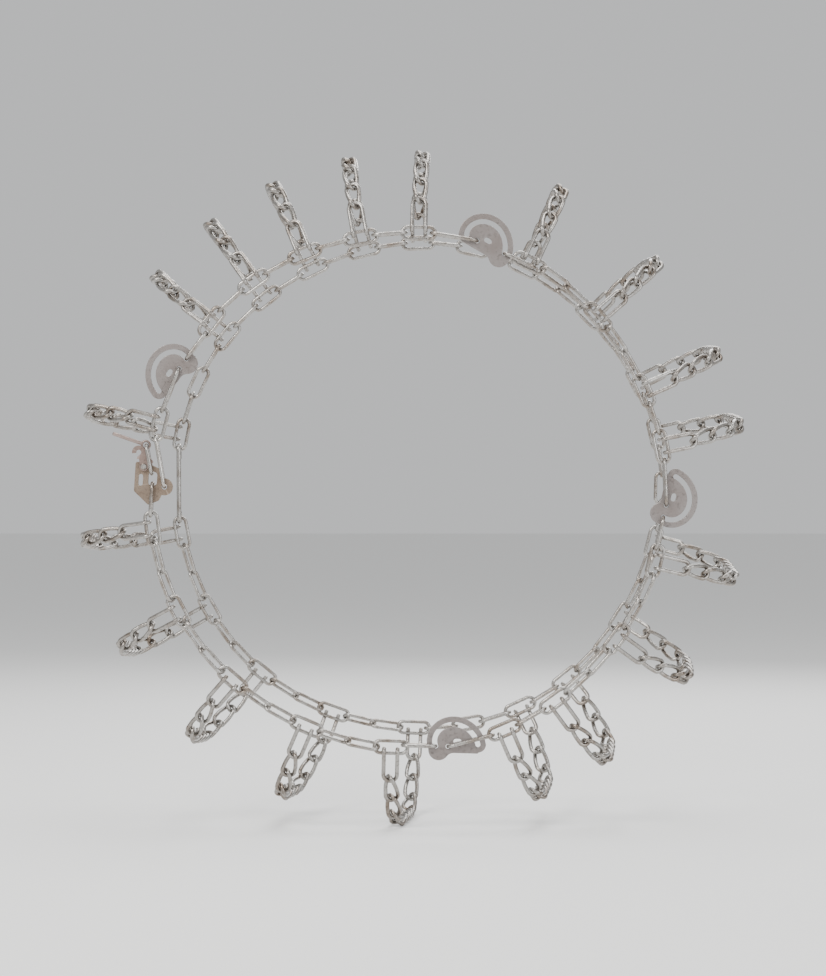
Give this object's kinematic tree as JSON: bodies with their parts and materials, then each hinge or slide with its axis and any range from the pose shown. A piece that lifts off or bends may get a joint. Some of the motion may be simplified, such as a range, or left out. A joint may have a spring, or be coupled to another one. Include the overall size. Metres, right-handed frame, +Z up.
{
  "type": "tire snow chains",
  "caption": "Fitted truck tyre snow chain: two side chains, twisted-link cross chains on curled hooks, slotted tension cams and a plate fastener with keeper and locking pin.",
  "frame": {"origin": "centre of the wheel the chain is fitted on, on its axle and midway across the tyre", "axes": "+Y along the axle towards the inner side of the wheel, the outer side with the cams faces -Y, +Z up, +X right seen from the outer side"},
  "size_m": [1.1055, 0.33, 1.1213],
  "materials": {
    "side_chain": "zinc-bright round wire with brown tarnish in the bends",
    "cross_chain": "worn steel wire with darker tarnish",
    "hook": "worn steel wire",
    "cam_plate": "matte stamped steel with bright worn edges",
    "fastener_plate": "matte brownish stamped steel",
    "fastener_keeper": "matte pinkish brown steel",
    "rivet": "bright worn steel",
    "locking_pin": "worn steel rod, brighter ring"
  },
  "bodies": {
    "chain": {"outer_side_chain_1": "side_chain", "outer_side_chain_2": "side_chain", "outer_side_chain_3": "side_chain", "outer_side_chain_4": "side_chain", "outer_side_chain_5": "side_chain", "inner_side_chain": "side_chain", "inner_hooks": "hook", "inner_closing_hook": "hook", "cross_chain_01": "cross_chain", "cross_chain_02": "cross_chain", "cross_chain_03": "cross_chain", "cross_chain_04": "cross_chain", "cross_chain_05": "cross_chain", "cross_chain_06": "cross_chain", "cross_chain_07": "cross_chain", "cross_chain_08": "cross_chain", "cross_chain_09": "cross_chain", "cross_chain_10": "cross_chain", "cross_chain_11": "cross_chain", "cross_chain_12": "cross_chain", "cross_chain_13": "cross_chain", "cross_chain_14": "cross_chain", "cross_chain_15": "cross_chain", "cross_chain_16": "cross_chain", "cross_chain_17": "cross_chain", "cross_chain_18": "cross_chain", "cross_chain_19": "cross_chain", "fastener_plate": "fastener_plate", "fastener_rivet": "rivet", "fastener_long_link": "side_chain", "fastener_tail_link": "side_chain"},
    "cam_1": {"tension_cam_1": "cam_plate"},
    "slot_link_1": {"cam_slot_link_1": "side_chain"},
    "cam_2": {"tension_cam_2": "cam_plate"},
    "slot_link_2": {"cam_slot_link_2": "side_chain"},
    "cam_3": {"tension_cam_3": "cam_plate"},
    "slot_link_3": {"cam_slot_link_3": "side_chain"},
    "cam_4": {"tension_cam_4": "cam_plate"},
    "slot_link_4": {"cam_slot_link_4": "side_chain"},
    "hook_01": {"outer_hook_01": "hook"},
    "hook_02": {"outer_hook_02": "hook"},
    "hook_03": {"outer_hook_03": "hook"},
    "hook_04": {"outer_hook_04": "hook"},
    "hook_05": {"outer_hook_05": "hook"},
    "hook_06": {"outer_hook_06": "hook"},
    "hook_07": {"outer_hook_07": "hook"},
    "hook_08": {"outer_hook_08": "hook"},
    "hook_09": {"outer_hook_09": "hook"},
    "hook_10": {"outer_hook_10": "hook"},
    "hook_11": {"outer_hook_11": "hook"},
    "hook_12": {"outer_hook_12": "hook"},
    "hook_13": {"outer_hook_13": "hook"},
    "hook_14": {"outer_hook_14": "hook"},
    "hook_15": {"outer_hook_15": "hook"},
    "hook_16": {"outer_hook_16": "hook"},
    "hook_17": {"outer_hook_17": "hook"},
    "hook_18": {"outer_hook_18": "hook"},
    "hook_19": {"outer_hook_19": "hook"},
    "keeper": {"fastener_keeper": "fastener_keeper"},
    "pin": {"locking_pin": "locking_pin"}
  },
  "joints": [
    {"name": "cam_1_turn", "type": "hinge", "parent": "chain", "child": "cam_1", "pos_m": [0.10467, -0.152, 0.40313], "axis": [0, 1, 0], "range_deg": [0, 175]},
    {"name": "cam_1_slot_link_slide", "type": "slide", "parent": "chain", "child": "slot_link_1", "axis": [0.906, 0, -0.4232], "range_m": [-0.029, 0]},
    {"name": "cam_2_turn", "type": "hinge", "parent": "chain", "child": "cam_2", "pos_m": [0.41286, -0.152, -0.02797], "axis": [0, 1, 0], "range_deg": [0, 175]},
    {"name": "cam_2_slot_link_slide", "type": "slide", "parent": "chain", "child": "slot_link_2", "axis": [-0.2327, 0, -0.9725], "range_m": [0, 0.029]},
    {"name": "cam_3_turn", "type": "hinge", "parent": "chain", "child": "cam_3", "pos_m": [0.05702, -0.152, -0.42133], "axis": [0, 1, 0], "range_deg": [-175, 0]},
    {"name": "cam_3_slot_link_slide", "type": "slide", "parent": "chain", "child": "slot_link_3", "axis": [-0.9996, 0, 0.0289], "range_m": [0, 0.029]},
    {"name": "cam_4_turn", "type": "hinge", "parent": "chain", "child": "cam_4", "pos_m": [-0.38133, -0.152, 0.19451], "axis": [0, 1, 0], "range_deg": [0, 175]},
    {"name": "cam_4_slot_link_slide", "type": "slide", "parent": "chain", "child": "slot_link_4", "axis": [0.5997, 0, 0.8002], "range_m": [0, 0.029]},
    {"name": "hook_01_swing", "type": "hinge", "parent": "chain", "child": "hook_01", "pos_m": [0.00951, -0.152, 0.42561], "axis": [0.9997, 0, -0.0249], "range_deg": [-0.7, 0.7]},
    {"name": "hook_02_swing", "type": "hinge", "parent": "chain", "child": "hook_02", "pos_m": [0.19469, -0.152, 0.37609], "axis": [0.906, 0, -0.4232], "range_deg": [-0.7, 0.7]},
    {"name": "hook_03_swing", "type": "hinge", "parent": "chain", "child": "hook_03", "pos_m": [0.30888, -0.152, 0.28556], "axis": [0.6552, 0, -0.7555], "range_deg": [-0.7, 0.7]},
    {"name": "hook_04_swing", "type": "hinge", "parent": "chain", "child": "hook_04", "pos_m": [0.38588, -0.152, 0.16248], "axis": [0.3965, 0, -0.9181], "range_deg": [-0.7, 0.7]},
    {"name": "hook_05_swing", "type": "hinge", "parent": "chain", "child": "hook_05", "pos_m": [0.41481, -0.152, 0.06984], "axis": [0.1933, 0, -0.9811], "range_deg": [-0.7, 0.7]},
    {"name": "hook_06_swing", "type": "hinge", "parent": "chain", "child": "hook_06", "pos_m": [0.40445, -0.152, -0.12158], "axis": [-0.2327, 0, -0.9725], "range_deg": [-0.7, 0.7]},
    {"name": "hook_07_swing", "type": "hinge", "parent": "chain", "child": "hook_07", "pos_m": [0.34005, -0.152, -0.25221], "axis": [-0.5912, 0, -0.8065], "range_deg": [-0.7, 0.7]},
    {"name": "hook_08_swing", "type": "hinge", "parent": "chain", "child": "hook_08", "pos_m": [0.23751, -0.152, -0.35497], "axis": [-0.8064, 0, -0.5913], "range_deg": [-0.7, 0.7]},
    {"name": "hook_09_swing", "type": "hinge", "parent": "chain", "child": "hook_09", "pos_m": [0.15321, -0.152, -0.40329], "axis": [-0.9192, 0, -0.3937], "range_deg": [-0.7, 0.7]},
    {"name": "hook_10_swing", "type": "hinge", "parent": "chain", "child": "hook_10", "pos_m": [-0.03633, -0.152, -0.43223], "axis": [-0.9996, 0, 0.0289], "range_deg": [-0.7, 0.7]},
    {"name": "hook_11_swing", "type": "hinge", "parent": "chain", "child": "hook_11", "pos_m": [-0.1777, -0.152, -0.39756], "axis": [-0.9181, 0, 0.3964], "range_deg": [-0.7, 0.7]},
    {"name": "hook_12_swing", "type": "hinge", "parent": "chain", "child": "hook_12", "pos_m": [-0.3006, -0.152, -0.32022], "axis": [-0.7511, 0, 0.6602], "range_deg": [-0.7, 0.7]},
    {"name": "hook_13_swing", "type": "hinge", "parent": "chain", "child": "hook_13", "pos_m": [-0.39113, -0.152, -0.20639], "axis": [-0.4691, 0, 0.8832], "range_deg": [-0.7, 0.7]},
    {"name": "hook_14_swing", "type": "hinge", "parent": "chain", "child": "hook_14", "pos_m": [-0.4348, -0.152, -0.06766], "axis": [-0.1273, 0, 0.9919], "range_deg": [-0.7, 0.7]},
    {"name": "hook_15_swing", "type": "hinge", "parent": "chain", "child": "hook_15", "pos_m": [-0.42386, -0.152, 0.1065], "axis": [0.245, 0, 0.9695], "range_deg": [-0.7, 0.7]},
    {"name": "hook_16_swing", "type": "hinge", "parent": "chain", "child": "hook_16", "pos_m": [-0.33645, -0.152, 0.27709], "axis": [0.5997, 0, 0.8002], "range_deg": [-0.7, 0.7]},
    {"name": "hook_17_swing", "type": "hinge", "parent": "chain", "child": "hook_17", "pos_m": [-0.2656, -0.152, 0.34435], "axis": [0.8139, 0, 0.5811], "range_deg": [-0.7, 0.7]},
    {"name": "hook_18_swing", "type": "hinge", "parent": "chain", "child": "hook_18", "pos_m": [-0.18038, -0.152, 0.39112], "axis": [0.9261, 0, 0.3774], "range_deg": [-0.7, 0.7]},
    {"name": "hook_19_swing", "type": "hinge", "parent": "chain", "child": "hook_19", "pos_m": [-0.08719, -0.152, 0.41809], "axis": [0.9841, 0, 0.1778], "range_deg": [-0.7, 0.7]},
    {"name": "keeper_turn", "type": "hinge", "parent": "chain", "child": "keeper", "pos_m": [-0.43846, -0.152, 0.03506], "axis": [0, -1, 0], "range_deg": [0, 60]},
    {"name": "locking_pin_swing", "type": "hinge", "parent": "chain", "child": "pin", "pos_m": [-0.43473, -0.152, 0.06989], "axis": [0, -1, 0], "range_deg": [0, 40]}
  ],
  "couplings": [
    {"joint": "cam_1_slot_link_slide", "follows": "cam_1_turn", "m_per_rad": -0.0094947},
    {"joint": "cam_2_slot_link_slide", "follows": "cam_2_turn", "m_per_rad": 0.0094947},
    {"joint": "cam_3_slot_link_slide", "follows": "cam_3_turn", "m_per_rad": -0.0094947},
    {"joint": "cam_4_slot_link_slide", "follows": "cam_4_turn", "m_per_rad": 0.0094947}
  ]
}
